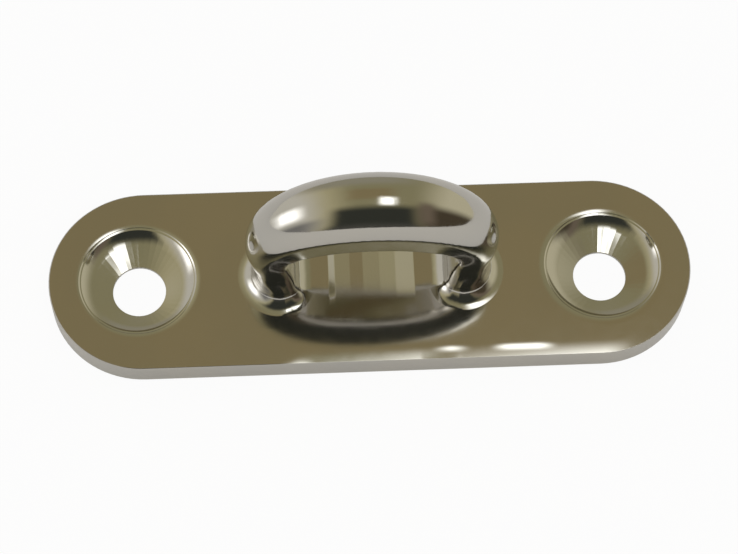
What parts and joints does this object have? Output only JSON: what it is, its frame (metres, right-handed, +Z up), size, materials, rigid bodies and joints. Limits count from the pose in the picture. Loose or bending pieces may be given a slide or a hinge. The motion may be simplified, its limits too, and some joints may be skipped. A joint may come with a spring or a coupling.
{
  "type": "eye plate",
  "caption": "Long metal deck plate with round ends, a countersunk screw hole near each end and a closed rounded eye standing over its middle",
  "frame": {"origin": "middle of the flat underside", "axes": "+X along the plate, through both screw holes; +Y across the plate; +Z up out of the deck, through the crown of the eye"},
  "size_m": [0.065, 0.0192, 0.0223],
  "materials": {
    "polished_steel": "polished cast stainless steel"
  },
  "bodies": {
    "root": {"eye_plate": "polished_steel"}
  },
  "joints": []
}
